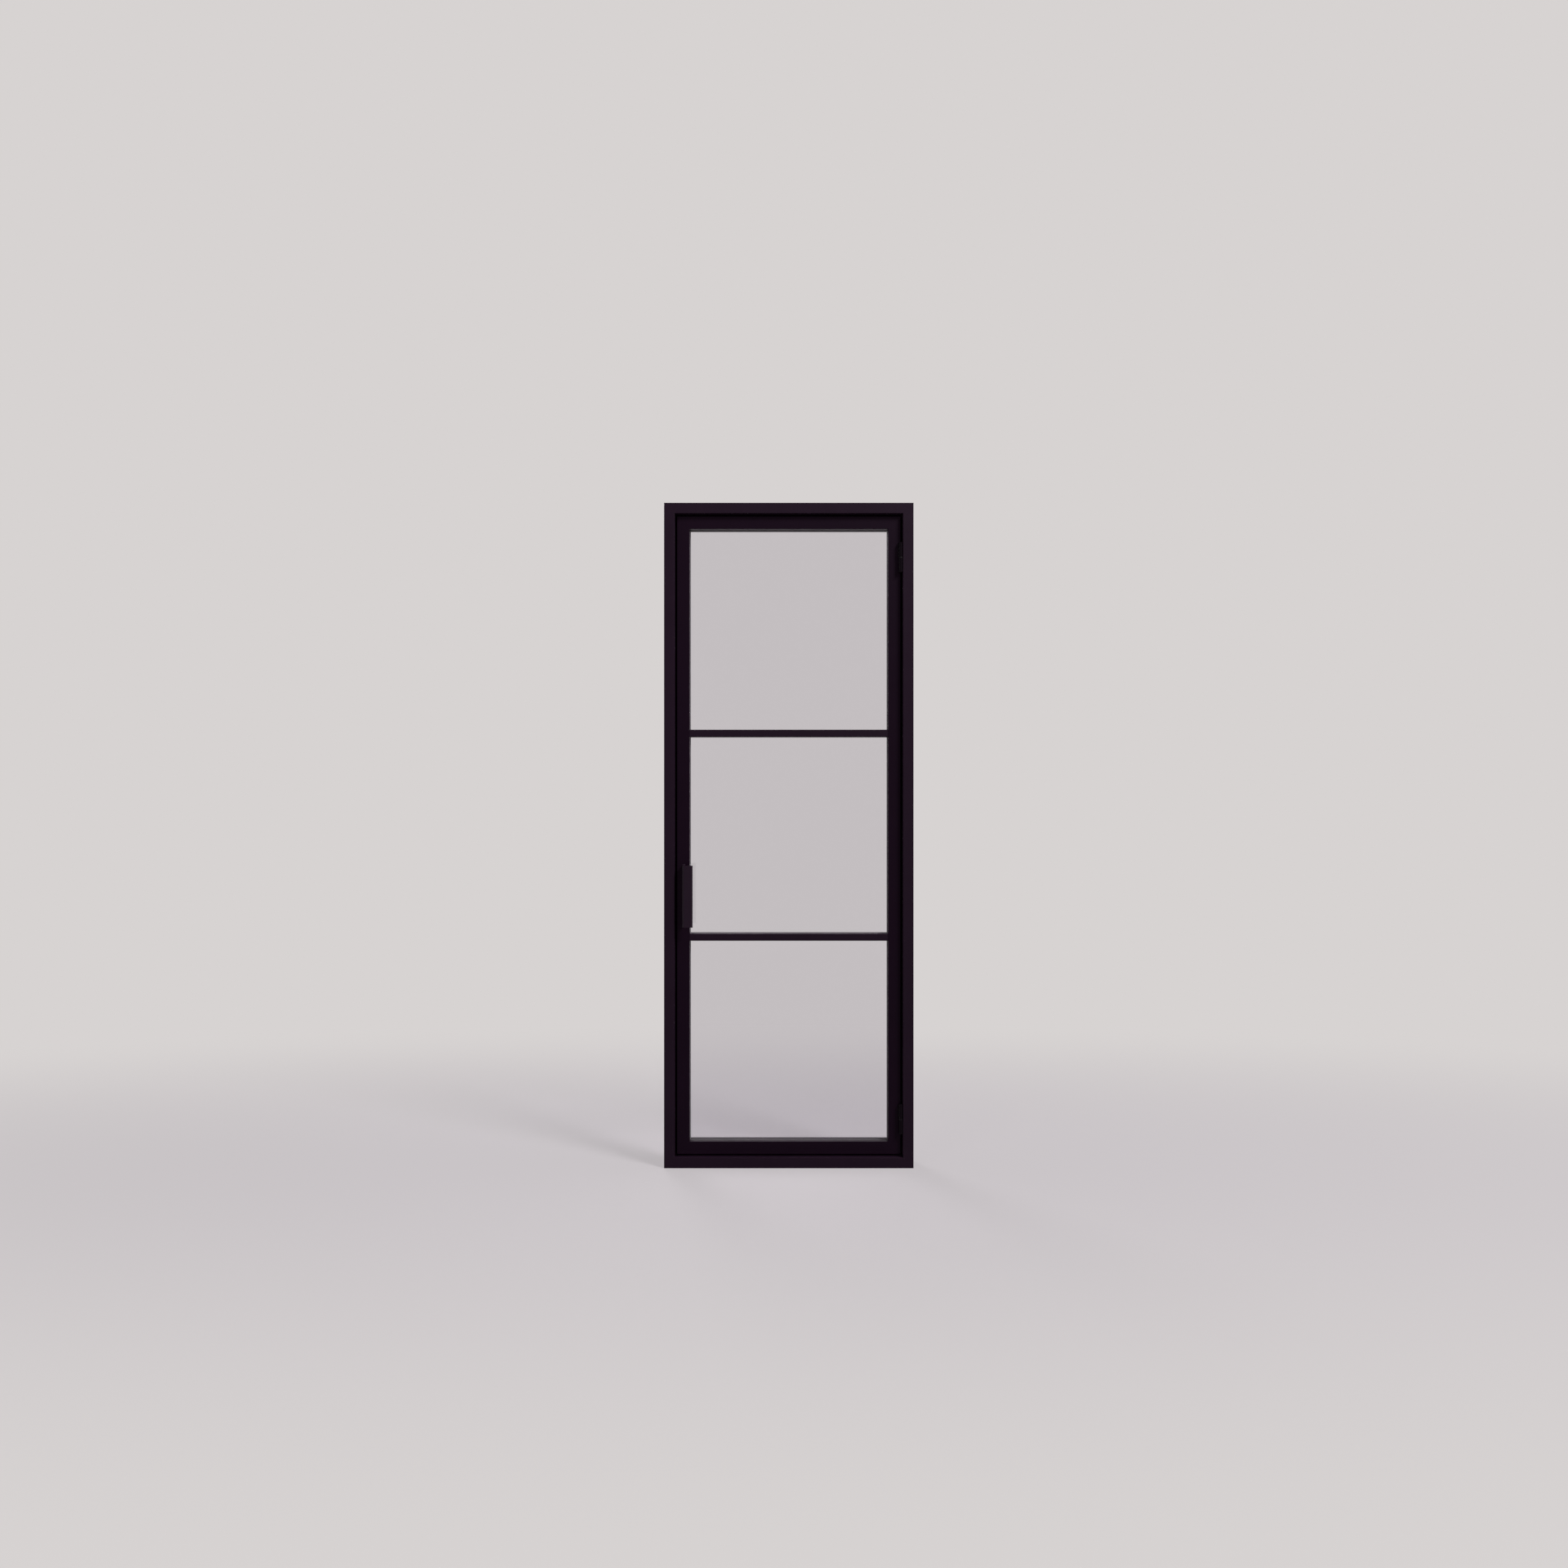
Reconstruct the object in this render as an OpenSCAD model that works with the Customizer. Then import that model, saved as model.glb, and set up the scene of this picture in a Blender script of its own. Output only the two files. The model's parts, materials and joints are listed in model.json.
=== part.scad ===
/* [Overall] */
// Width of the frame over its outer faces
frame_w = 900; // [760:5:1100]
// Height of the frame over its outer faces
frame_h = 2400; // [2000:5:2700]

/* [Frame] */
// Width of each frame member, seen from the front
frame_face = 38; // [30:1:60]
// Steel wall of the frame tubes
frame_wall = 2; // [1.5:0.25:3]
// Radius on the tubes' outer edges
edge_r = 1.5; // [0.5:0.25:2]
// Depth of the door stop, front to back
stop_depth = 15; // [12:1:30]
// How far the door stop stands out from the frame's inner face
stop_proud = 20; // [18:1:28]
// Gap between the leaf's back and the stop
stop_gap = 5; // [5:0.5:8]

/* [Stop seal] */
// Width of the seal's flat base
seal_w = 8; // [7:0.5:10]
// Thickness of the seal's flat base
seal_base = 1.5; // [1:0.25:2]
// Clearance between the seal's lobe and the shut leaf
seal_clear = 0.5; // [0.3:0.1:1]

/* [Leaf] */
// How far the leaf's face lies behind the frame's face
leaf_recess = 15; // [15:1:25]
// Gap between the leaf and the frame, on all four sides
leaf_gap = 7; // [5:0.5:8]
// Width of the leaf's stiles and rails, seen from the front
stile_face = 46; // [42:1:70]
// Steel wall of the leaf's tubes
leaf_wall = 2; // [1.5:0.25:3]
// Depth of the stile in front of the glazing rebate
nose_depth = 20.5; // [16:0.5:26]
// Width of the rebate that takes the glass edge and its bead
rebate_w = 15; // [13:0.5:18]

/* [Glazing bars] */
// Width of a glazing bar, seen from the front
bar_face = 25; // [22:1:40]
// Thickness of the web that parts two panes
bar_web = 5; // [3:0.5:6]
// Centre of the lower bar, as a share of the glazed height
bar_lower_share = 0.3333; // [0.25:0.0001:0.45]
// Centre of the upper bar, as a share of the glazed height
bar_upper_share = 0.6667; // [0.55:0.0001:0.75]

/* [Glass and beads] */
// Thickness of the glass
glass_t = 8; // [6:1:12]
// Thickness of the tape on each side of the glass
tape_t = 2; // [1:0.5:3]
// Gap between the glass edge and the steel around it
glass_edge_gap = 2.5; // [2:0.5:4]
// Depth of the beads behind the glass
bead_depth = 12.5; // [10:0.5:18]
// Wall of the bead tubes
bead_wall = 1.5; // [1:0.25:2]
// Radius on the beads' outer edges
bead_r = 1; // [0.5:0.25:1.5]

/* [Hinges] */
// Diameter of the hinge barrel
hinge_d = 14; // [13:0.5:16]
// Height of each half of the barrel
hinge_half_h = 53; // [45:1:65]
// Diameter of the hinge pin
pin_d = 8; // [6:0.5:9]
// Length of the pin above its half of the barrel
pin_l = 44; // [30:1:44]
// Radial clearance of the pin in its bore
pin_fit = 0.05; // [0.03:0.01:0.1]
// Clearance between the pin's tip and the end of its bore
pin_tip_gap = 2; // [1:0.5:4]
// Thickness of the bearing washer
washer_t = 2; // [1.5:0.25:3]
// Axial play between the washer and the leaf's half
hinge_play = 0.2; // [0.1:0.05:0.5]
// Gap between the barrel and the jamb
hinge_jamb_gap = 1; // [0.5:0.25:2]
// Gap between the barrel and the leaf's face
hinge_leaf_gap = 0.5; // [0.5:0.25:1]
// Width of the foot that welds each half in place
hinge_foot_w = 8; // [6:0.5:10]
// Chamfer on the barrel's and the pin's ends
hinge_chamfer = 1; // [0.5:0.25:1.5]
// Distance of the upper hinge's middle below the head
hinge_from_head = 158; // [120:1:300]
// Distance of the lower hinge's middle above the sill
hinge_from_sill = 137; // [120:1:300]

/* [Pull handle] */
// Width of the pull's plate
pull_w = 38; // [30:1:44]
// Height of the pull
pull_h = 222; // [150:1:400]
// Distance of the pull's outer face from the leaf
pull_reach = 37; // [30:1:50]
// Thickness of the pull's bent plate
pull_t = 5; // [4:0.5:6]
// Inner radius of the pull's bend
pull_bend_r = 4; // [2:0.5:6]
// Radius on the long edges of the pull's grip
pull_edge_r = 1.5; // [0.5:0.25:1.75]
// Distance of the pull's edge from the leaf's edge
pull_inset = 22; // [20:0.5:26]
// Height of the pull's middle above the floor
pull_z = 982; // [850:1:1150]

/* [Wall fixings] */
// Diameter of the fixing holes in the jambs' outer walls
fixing_d = 8.5; // [6.5:0.5:10.5]
// Diameter of the access holes in the jambs' inner walls
access_d = 14; // [12:0.5:16]
// Distance between the outer pair of fixing holes on a jamb
fixing_outer_pitch = 1900; // [1700:10:1960]
// Distance between the inner pair of fixing holes on a jamb
fixing_inner_pitch = 640; // [400:10:800]

/* [Hidden] */

steel_colour = [0.15, 0.11, 0.16];
leaf_colour = [0.12, 0.09, 0.13];
glass_colour = [0.74, 0.78, 0.78, 0.35];
rubber_colour = [0.05, 0.05, 0.05];
washer_colour = [0.07, 0.07, 0.07];

// How far a cutting shape runs past the face that it cuts
over = 0.5;
// Smoothness of round parts
$fn = 48;

// Names of the four sides of a ring of members, in the order that a turn of 90 degrees takes them
BOTTOM = 0;
RIGHT = 1;
TOP = 2;
LEFT = 3;

// Panes by number, from the top down
PANE_TOP = 0;
PANE_MIDDLE = 1;
PANE_BOTTOM = 2;

// Depths along y, from the front to the back
leaf_depth = nose_depth + 2 * tape_t + glass_t + bead_depth;
frame_depth = leaf_recess + leaf_depth + stop_gap + stop_depth;
frame_front = -frame_depth / 2;
frame_back = frame_depth / 2;
leaf_front = frame_front + leaf_recess;
rebate_front = leaf_front + nose_depth;
glass_front = rebate_front + tape_t;
glass_back = glass_front + glass_t;
bead_front = glass_back + tape_t;
leaf_back = bead_front + bead_depth;
stop_front = leaf_back + stop_gap;

// Outlines in x and z
leaf_x = frame_w / 2 - frame_face - leaf_gap;
leaf_z0 = frame_face + leaf_gap;
leaf_z1 = frame_h - frame_face - leaf_gap;
sight_x = leaf_x - stile_face;
sight_z0 = leaf_z0 + stile_face;
sight_z1 = leaf_z1 - stile_face;
rebate_x = sight_x + rebate_w;
bar_lower_z = sight_z0 + bar_lower_share * (sight_z1 - sight_z0);
bar_upper_z = sight_z0 + bar_upper_share * (sight_z1 - sight_z0);

// The steel around each pane, from its lower to its upper edge, and the width hidden behind it
bar_cover = (bar_face - bar_web) / 2;
pane_z0 = [bar_upper_z + bar_web / 2, bar_lower_z + bar_web / 2, sight_z0 - rebate_w];
pane_z1 = [sight_z1 + rebate_w, bar_upper_z - bar_web / 2, bar_lower_z - bar_web / 2];
cover_z0 = [bar_cover, bar_cover, rebate_w];
cover_z1 = [rebate_w, bar_cover, bar_cover];

// Seal
seal_lobe_r = stop_gap - seal_base - seal_clear;
seal_u = frame_face + (leaf_gap + stop_proud) / 2;

// Hinges
hinge_x = frame_w / 2 - frame_face - hinge_jamb_gap - hinge_d / 2;
hinge_y = leaf_front - hinge_leaf_gap - hinge_d / 2;
hinge_upper_z = frame_h - frame_face - hinge_from_head;
hinge_lower_z = frame_face + hinge_from_sill;
// Underside and top of the washer, from the hinge's middle
washer_z0 = -(washer_t + hinge_play) / 2;
washer_z1 = washer_z0 + washer_t;
leaf_half_z0 = washer_z1 + hinge_play;
pin_bore_depth = pin_l - washer_t - hinge_play + pin_tip_gap;

// A rectangle whose four corners are round
module soft_rect(low, high, r) {
    size = high - low;
    translate(low) difference() {
        square(size);
        for (ix = [0, 1], iy = [0, 1])
            translate([ix * size.x, iy * size.y])
                mirror([ix, 0])
                    mirror([0, iy])
                        difference() {
                            translate([-over, -over]) square(r + over);
                            translate([r, r]) circle(r = r);
                        }
    }
}

// A rectangle given by two opposite corners
module plain_rect(low, high) {
    translate(low) square(high - low);
}

// One side of a mitred ring around a rectangle, swept from a section of (depth, distance inward)
module ring_side(side, half_w, z0, z1) {
    starts = [[-half_w, z0], [half_w, z0], [half_w, z1], [-half_w, z1]];
    len = side % 2 == 0 ? 2 * half_w : z1 - z0;
    reach = min(half_w, (z1 - z0) / 2);
    span = 4 * frame_depth;
    translate([starts[side].x, 0, starts[side].y])
        rotate([0, -90 * side, 0])
            intersection() {
                rotate([90, 0, 90]) linear_extrude(len) children();
                rotate([90, 0, 0])
                    linear_extrude(span, center = true)
                        polygon([[0, 0], [len, 0], [len - reach, reach], [reach, reach]]);
            }
}

module frame_side(side) {
    ring_side(side, frame_w / 2, 0, frame_h) children();
}

module leaf_side(side) {
    ring_side(side, leaf_x, leaf_z0, leaf_z1) children();
}

// Sections of the swept members
module frame_section() {
    difference() {
        soft_rect([frame_front, 0], [frame_back, frame_face], edge_r);
        plain_rect([frame_front + frame_wall, frame_wall], [frame_back - frame_wall, frame_face - frame_wall]);
    }
}

module stop_section() {
    top = frame_face + stop_proud;
    difference() {
        soft_rect([stop_front, frame_face], [frame_back, top], edge_r);
        plain_rect([stop_front + frame_wall, frame_face + frame_wall], [frame_back - frame_wall, top - frame_wall]);
    }
}

module seal_section() {
    plain_rect([stop_front - seal_base, seal_u - seal_w / 2], [stop_front, seal_u + seal_w / 2]);
    intersection() {
        translate([stop_front - seal_base, seal_u]) circle(r = seal_lobe_r);
        plain_rect([leaf_back, seal_u - seal_w], [stop_front - seal_base, seal_u + seal_w]);
    }
}

module leaf_section() {
    back_w = stile_face - rebate_w;
    difference() {
        union() {
            soft_rect([leaf_front, 0], [rebate_front, stile_face], edge_r);
            soft_rect([leaf_front, 0], [leaf_back, back_w], edge_r);
        }
        plain_rect([leaf_front + leaf_wall, leaf_wall], [rebate_front - leaf_wall, stile_face - leaf_wall]);
        plain_rect([leaf_front + leaf_wall, leaf_wall], [leaf_back - leaf_wall, back_w - leaf_wall]);
    }
}

// Holes along x through a jamb, on the side that sign names
module fixing_holes(sign) {
    for (pitch = [fixing_outer_pitch, fixing_inner_pitch], way = [-1, 1])
        translate([0, 0, frame_h / 2 + way * pitch / 2])
            rotate([0, sign * 90, 0]) {
                translate([0, 0, frame_w / 2 - frame_face / 2])
                    cylinder(d = fixing_d, h = frame_face / 2 + over);
                translate([0, 0, frame_w / 2 - frame_face - over])
                    cylinder(d = access_d, h = frame_face / 2 + over);
            }
}

module jamb(side, sign) {
    color(steel_colour)
        difference() {
            frame_side(side) frame_section();
            fixing_holes(sign);
        }
}

module frame_head() { color(steel_colour) frame_side(TOP) frame_section(); }
module frame_sill() { color(steel_colour) frame_side(BOTTOM) frame_section(); }
module frame_jamb_latch() { jamb(LEFT, -1); }
module frame_jamb_hinge() { jamb(RIGHT, 1); }

module stop_head() { color(steel_colour) frame_side(TOP) stop_section(); }
module stop_sill() { color(steel_colour) frame_side(BOTTOM) stop_section(); }
module stop_latch() { color(steel_colour) frame_side(LEFT) stop_section(); }
module stop_hinge() { color(steel_colour) frame_side(RIGHT) stop_section(); }

module seal_head() { color(rubber_colour) frame_side(TOP) seal_section(); }
module seal_sill() { color(rubber_colour) frame_side(BOTTOM) seal_section(); }
module seal_latch() { color(rubber_colour) frame_side(LEFT) seal_section(); }
module seal_hinge() { color(rubber_colour) frame_side(RIGHT) seal_section(); }

// A barrel or pin standing on z = 0, chamfered at one or both ends
module chamfered_rod(d, h, lower_chamfer, upper_chamfer) {
    rotate_extrude()
        polygon([
            [0, 0],
            [d / 2 - lower_chamfer, 0],
            [d / 2, lower_chamfer],
            [d / 2, h - upper_chamfer],
            [d / 2 - upper_chamfer, h],
            [0, h]
        ]);
}

// The half that stays on the jamb: barrel, pin and the foot that reaches the jamb
module pin_half(z) {
    foot_l = hinge_d / 2 + hinge_jamb_gap;
    color(steel_colour)
        translate([hinge_x, hinge_y, z + washer_z0]) {
            translate([0, 0, -hinge_half_h]) {
                chamfered_rod(hinge_d, hinge_half_h, hinge_chamfer, 0);
                translate([0, -hinge_foot_w / 2, hinge_chamfer])
                    cube([foot_l, hinge_foot_w, hinge_half_h - hinge_chamfer]);
            }
            translate([0, 0, -pin_l / 2]) chamfered_rod(pin_d, 1.5 * pin_l, 0, hinge_chamfer);
        }
}

// The half that lifts off with the leaf: barrel with a blind bore, and the foot that reaches the leaf
module leaf_half(z) {
    foot_l = hinge_d / 2 + hinge_leaf_gap;
    color(steel_colour)
        translate([hinge_x, hinge_y, z + leaf_half_z0])
            difference() {
                union() {
                    chamfered_rod(hinge_d, hinge_half_h, 0, hinge_chamfer);
                    translate([-hinge_foot_w, 0, 0])
                        cube([hinge_foot_w, foot_l, hinge_half_h - hinge_chamfer]);
                }
                translate([0, 0, -over]) cylinder(r = pin_d / 2 + pin_fit, h = pin_bore_depth + over);
            }
}

module bearing_washer(z) {
    color(washer_colour)
        translate([hinge_x, hinge_y, z + washer_z0])
            difference() {
                cylinder(d = hinge_d, h = washer_t);
                translate([0, 0, -over]) cylinder(r = pin_d / 2 + pin_fit, h = washer_t + 2 * over);
            }
}

module hinge_upper_pin_half() { pin_half(hinge_upper_z); }
module hinge_lower_pin_half() { pin_half(hinge_lower_z); }
module hinge_upper_washer() { bearing_washer(hinge_upper_z); }
module hinge_lower_washer() { bearing_washer(hinge_lower_z); }
module hinge_upper_leaf_half() { leaf_half(hinge_upper_z); }
module hinge_lower_leaf_half() { leaf_half(hinge_lower_z); }

module leaf_top_rail() { color(leaf_colour) leaf_side(TOP) leaf_section(); }
module leaf_bottom_rail() { color(leaf_colour) leaf_side(BOTTOM) leaf_section(); }
module leaf_latch_stile() { color(leaf_colour) leaf_side(LEFT) leaf_section(); }
module leaf_hinge_stile() { color(leaf_colour) leaf_side(RIGHT) leaf_section(); }

// A glazing bar: a tube between the stiles' noses and a web that reaches into their rebates
module glazing_bar(z) {
    color(steel_colour)
        translate([0, 0, z]) {
            rotate([90, 0, 90])
                linear_extrude(2 * sight_x, center = true)
                    difference() {
                        soft_rect([leaf_front, -bar_face / 2], [rebate_front, bar_face / 2], edge_r);
                        plain_rect(
                            [leaf_front + leaf_wall, leaf_wall - bar_face / 2],
                            [rebate_front - leaf_wall, bar_face / 2 - leaf_wall]
                        );
                    }
            translate([-rebate_x, rebate_front, -bar_web / 2])
                cube([2 * rebate_x, leaf_back - rebate_front, bar_web]);
        }
}

module bar_upper() { glazing_bar(bar_upper_z); }
module bar_lower() { glazing_bar(bar_lower_z); }

module pane(i) {
    x = rebate_x - glass_edge_gap;
    color(glass_colour)
        translate([-x, glass_front, pane_z0[i] + glass_edge_gap])
            cube([2 * x, glass_t, pane_z1[i] - pane_z0[i] - 2 * glass_edge_gap]);
}

module glass_top() { pane(PANE_TOP); }
module glass_middle() { pane(PANE_MIDDLE); }
module glass_bottom() { pane(PANE_BOTTOM); }

// The tape on both sides of a pane, hidden behind the steel's sight line
module pane_tape(i) {
    x = rebate_x - glass_edge_gap;
    color(rubber_colour)
        for (y = [rebate_front, glass_back])
            translate([0, y + tape_t, 0])
                rotate([90, 0, 0])
                    linear_extrude(tape_t)
                        difference() {
                            plain_rect([-x, pane_z0[i] + glass_edge_gap], [x, pane_z1[i] - glass_edge_gap]);
                            plain_rect([-sight_x, pane_z0[i] + cover_z0[i]], [sight_x, pane_z1[i] - cover_z1[i]]);
                        }
}

module tape_top() { pane_tape(PANE_TOP); }
module tape_middle() { pane_tape(PANE_MIDDLE); }
module tape_bottom() { pane_tape(PANE_BOTTOM); }

// Section of a bead as (depth, width), with its width counted from 0
module bead_section(w) {
    difference() {
        soft_rect([bead_front, 0], [leaf_back, w], bead_r);
        plain_rect([bead_front + bead_wall, bead_wall], [leaf_back - bead_wall, w - bead_wall]);
    }
}

// A bead across the leaf, with its lower edge at z
module bead_across(z, w) {
    color(leaf_colour)
        translate([0, 0, z])
            rotate([90, 0, 90])
                linear_extrude(2 * rebate_x, center = true)
                    bead_section(w);
}

// A bead up the side of a pane, between the pane's two cross beads
module bead_upright(i, sign) {
    z0 = pane_z0[i] + cover_z0[i];
    z1 = pane_z1[i] - cover_z1[i];
    x = sign > 0 ? sight_x : -rebate_x;
    color(leaf_colour)
        translate([x, 0, z0])
            mirror([1, -1, 0])
                linear_extrude(z1 - z0)
                    bead_section(rebate_w);
}

module bead_high(i) { bead_across(pane_z1[i] - cover_z1[i], cover_z1[i]); }
module bead_low(i) { bead_across(pane_z0[i], cover_z0[i]); }

module bead_top_upper() { bead_high(PANE_TOP); }
module bead_top_lower() { bead_low(PANE_TOP); }
module bead_top_left() { bead_upright(PANE_TOP, -1); }
module bead_top_right() { bead_upright(PANE_TOP, 1); }
module bead_middle_upper() { bead_high(PANE_MIDDLE); }
module bead_middle_lower() { bead_low(PANE_MIDDLE); }
module bead_middle_left() { bead_upright(PANE_MIDDLE, -1); }
module bead_middle_right() { bead_upright(PANE_MIDDLE, 1); }
module bead_bottom_upper() { bead_high(PANE_BOTTOM); }
module bead_bottom_lower() { bead_low(PANE_BOTTOM); }
module bead_bottom_left() { bead_upright(PANE_BOTTOM, -1); }
module bead_bottom_right() { bead_upright(PANE_BOTTOM, 1); }

// Plan of the pull as bent plate: its foot stands on y = 0 and its grip lies toward -y
module pull_plan() {
    outer_r = pull_bend_r + pull_t;
    grip_y = -pull_reach;
    bend = [outer_r, grip_y + outer_r];
    translate([0, bend.y]) square([pull_t, -bend.y]);
    soft_rect([bend.x, grip_y], [pull_w, grip_y + pull_t], pull_edge_r);
    plain_rect([bend.x, grip_y], [pull_w - pull_edge_r, grip_y + pull_t]);
    intersection() {
        translate(bend) difference() {
            circle(r = outer_r);
            circle(r = pull_bend_r);
        }
        translate([0, grip_y]) square(outer_r);
    }
}

module pull_front() {
    color(steel_colour)
        translate([-leaf_x + pull_inset, leaf_front, pull_z - pull_h / 2])
            linear_extrude(pull_h)
                pull_plan();
}

frame_head();
frame_sill();
frame_jamb_latch();
frame_jamb_hinge();
stop_head();
stop_sill();
stop_latch();
stop_hinge();
seal_head();
seal_sill();
seal_latch();
seal_hinge();
hinge_upper_pin_half();
hinge_lower_pin_half();
hinge_upper_washer();
hinge_lower_washer();
hinge_upper_leaf_half();
hinge_lower_leaf_half();
leaf_top_rail();
leaf_bottom_rail();
leaf_latch_stile();
leaf_hinge_stile();
bar_upper();
bar_lower();
glass_top();
glass_middle();
glass_bottom();
tape_top();
tape_middle();
tape_bottom();
bead_top_upper();
bead_top_lower();
bead_top_left();
bead_top_right();
bead_middle_upper();
bead_middle_lower();
bead_middle_left();
bead_middle_right();
bead_bottom_upper();
bead_bottom_lower();
bead_bottom_left();
bead_bottom_right();
pull_front();
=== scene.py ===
"""Visual model of a single glazed steel door, built around the fixed frame of its solid model."""

import json
import math

import bmesh
import bpy
import numpy as np
from bpy.props import FloatProperty, FloatVectorProperty, PointerProperty
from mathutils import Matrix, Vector


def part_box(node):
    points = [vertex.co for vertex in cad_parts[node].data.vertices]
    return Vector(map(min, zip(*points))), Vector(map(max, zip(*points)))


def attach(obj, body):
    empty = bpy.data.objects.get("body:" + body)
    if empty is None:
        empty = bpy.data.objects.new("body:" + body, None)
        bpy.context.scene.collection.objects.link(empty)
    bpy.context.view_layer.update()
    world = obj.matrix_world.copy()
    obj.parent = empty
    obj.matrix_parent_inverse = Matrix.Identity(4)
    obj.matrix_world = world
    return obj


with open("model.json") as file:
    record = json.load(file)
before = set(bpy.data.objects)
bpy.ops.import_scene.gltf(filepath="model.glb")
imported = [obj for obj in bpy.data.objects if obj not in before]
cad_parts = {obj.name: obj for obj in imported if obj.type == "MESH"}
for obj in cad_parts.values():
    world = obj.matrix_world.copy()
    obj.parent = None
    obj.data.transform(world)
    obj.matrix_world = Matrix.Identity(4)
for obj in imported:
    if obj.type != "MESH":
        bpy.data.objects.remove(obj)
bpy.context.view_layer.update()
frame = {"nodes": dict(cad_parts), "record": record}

bl_info = {
    "name": "Glazed Steel Door",
    "version": (1, 0, 0),
    "blender": (4, 5, 0),
    "location": "View3D > Sidebar > Door",
    "description": "Finishes, welds, screws and glazing lips for a framed steel door",
    "category": "Object",
}

MM = 0.001

PANES = ("top", "middle", "bottom")
HINGES = ("upper", "lower")
ACROSS = ("upper", "lower")
UPRIGHT = ("left", "right")
FRAME_STEEL = (
    "frame_head", "frame_sill", "frame_jamb_latch", "frame_jamb_hinge",
    "stop_head", "stop_sill", "stop_latch", "stop_hinge",
)
LEAF_STEEL = ("leaf_top_rail", "leaf_bottom_rail", "leaf_latch_stile", "leaf_hinge_stile")
BARS = ("bar_upper", "bar_lower")
BEADS = tuple(f"bead_{pane}_{side}" for pane in PANES for side in ACROSS + UPRIGHT)
HINGE_STEEL = tuple(f"hinge_{h}_{half}_half" for h in HINGES for half in ("pin", "leaf"))
PULL_STEEL = ("pull_front",)
SEALS = ("seal_head", "seal_sill", "seal_latch", "seal_hinge")
TAPES = tuple(f"tape_{pane}" for pane in PANES)

# The roughness of three finishes of powder coat, lowest and highest
SMOOTH = (0.18, 0.24)
SATIN = (0.38, 0.46)
MATT = (0.74, 0.82)

# Points round a screw's head and a cap, and across a weld and a seam
HEAD_POINTS = 24
CAP_POINTS = 32
WELD_POINTS = 7
SEAM_POINTS = 7

# A weld's crown and ripples as shares of its leg, and how far each ripple's middle lags, in radians
WELD_CROWN = 0.16
WELD_RIPPLE = 0.07
WELD_LAG = 0.9

# How far a piece reaches into what carries it, so that no light shows between them
SUNK = 0.05 * MM

# Points closer than this are one point
MERGE = 0.002 * MM


def linear(code):
    """An sRGB hex colour as linear red, green, blue and an alpha of 1."""
    parts = [int(code[i:i + 2], 16) / 255 for i in (1, 3, 5)]
    return tuple(c / 12.92 if c <= 0.04045 else ((c + 0.055) / 1.055) ** 2.4 for c in parts) + (1.0,)


# Settings that a user would change


def length(name, description, default):
    """A size in metres."""
    return FloatProperty(
        name=name, description=description, default=default, unit="LENGTH", subtype="DISTANCE",
    )


def share(name, description, default):
    """A part of one."""
    return FloatProperty(
        name=name, description=description, default=default, min=0.0, max=1.0, subtype="FACTOR",
    )


def colour(name, description, code):
    """A colour with its alpha."""
    return FloatVectorProperty(
        name=name, description=description, default=linear(code), size=4, subtype="COLOR",
    )


class DoorFinishes(bpy.types.PropertyGroup):
    """The door's colours and how glossy its coats are"""
    coat: colour("Frame coat", "Powder coat of the frame, bars, beads and pull", "#1C101C")
    # The hinges' coat is darker than the frame's: painted shade for the shadow of the jamb that the
    # hinges stand in
    hinge_coat_painted_shade: colour("Hinge coat", "Powder coat of the hinges", "#0C060C")
    # The leaf's coat is darker than the frame's: painted shade for the recess that the leaf sits in
    # behind the frame
    leaf_coat_painted_shade: colour("Leaf coat", "Powder coat of the leaf's stiles and rails", "#130713")
    frame_gloss: share("Frame gloss", "Square-on gloss of the frame, bars and beads", 0.12)
    leaf_gloss: share("Leaf gloss", "Square-on gloss of the leaf's stiles and rails", 0.08)
    pull_gloss: share("Pull gloss", "Square-on gloss of the pull, polished by hands", 0.2)
    hinge_gloss: share("Hinge gloss", "Square-on gloss of the hinges", 0.06)
    glass: colour("Glass", "Tint of the clear glass", "#E7E5E9")
    rubber: colour("Rubber", "Colour of the seals and tapes", "#141214")
    # The lips' pale grey is partly the silicone's own and partly painted reflection, standing in for
    # the sheen of the steel reveals round the glass at a grazing angle
    sealant_and_sheen: colour("Sealant", "Colour of the sealant lips round the glass", "#6A666A")
    nylon: colour("Nylon", "Colour of the hinges' bearing washers and of the fixing caps", "#141315")
    screw: colour("Screws", "Colour of the blackened bead screws", "#1B1819")


class DoorDetails(bpy.types.PropertyGroup):
    """Sizes of the welds, lips, screws and caps"""
    hinge_weld: length("Hinge weld", "Leg of the weld fillets at the hinge feet", 2.5 * MM)
    pull_weld: length("Pull weld", "Leg of the weld fillet round the pull's foot", 3.0 * MM)
    pull_plate: length("Pull plate", "Thickness of the pull's bent plate", 5.0 * MM)
    weld_ripple: length("Weld ripple", "Distance between two ripples of a weld", 2.2 * MM)
    seam_width: length("Mitre seam", "Width of the dressed weld along each mitre", 3.0 * MM)
    lip: length("Glazing lip", "Leg of the sealant fillet between glass and steel", 1.6 * MM)
    screw_d: length("Screw head", "Diameter of the bead screws' button heads", 6.0 * MM)
    screw_pitch: length("Screw spacing", "Largest distance between two bead screws", 190 * MM)
    screw_end: length("Screw end", "Distance of the first screw from a bead's end", 45 * MM)
    cap_d: length("Cap", "Diameter of the caps over the fixing holes", 17.5 * MM)


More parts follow.
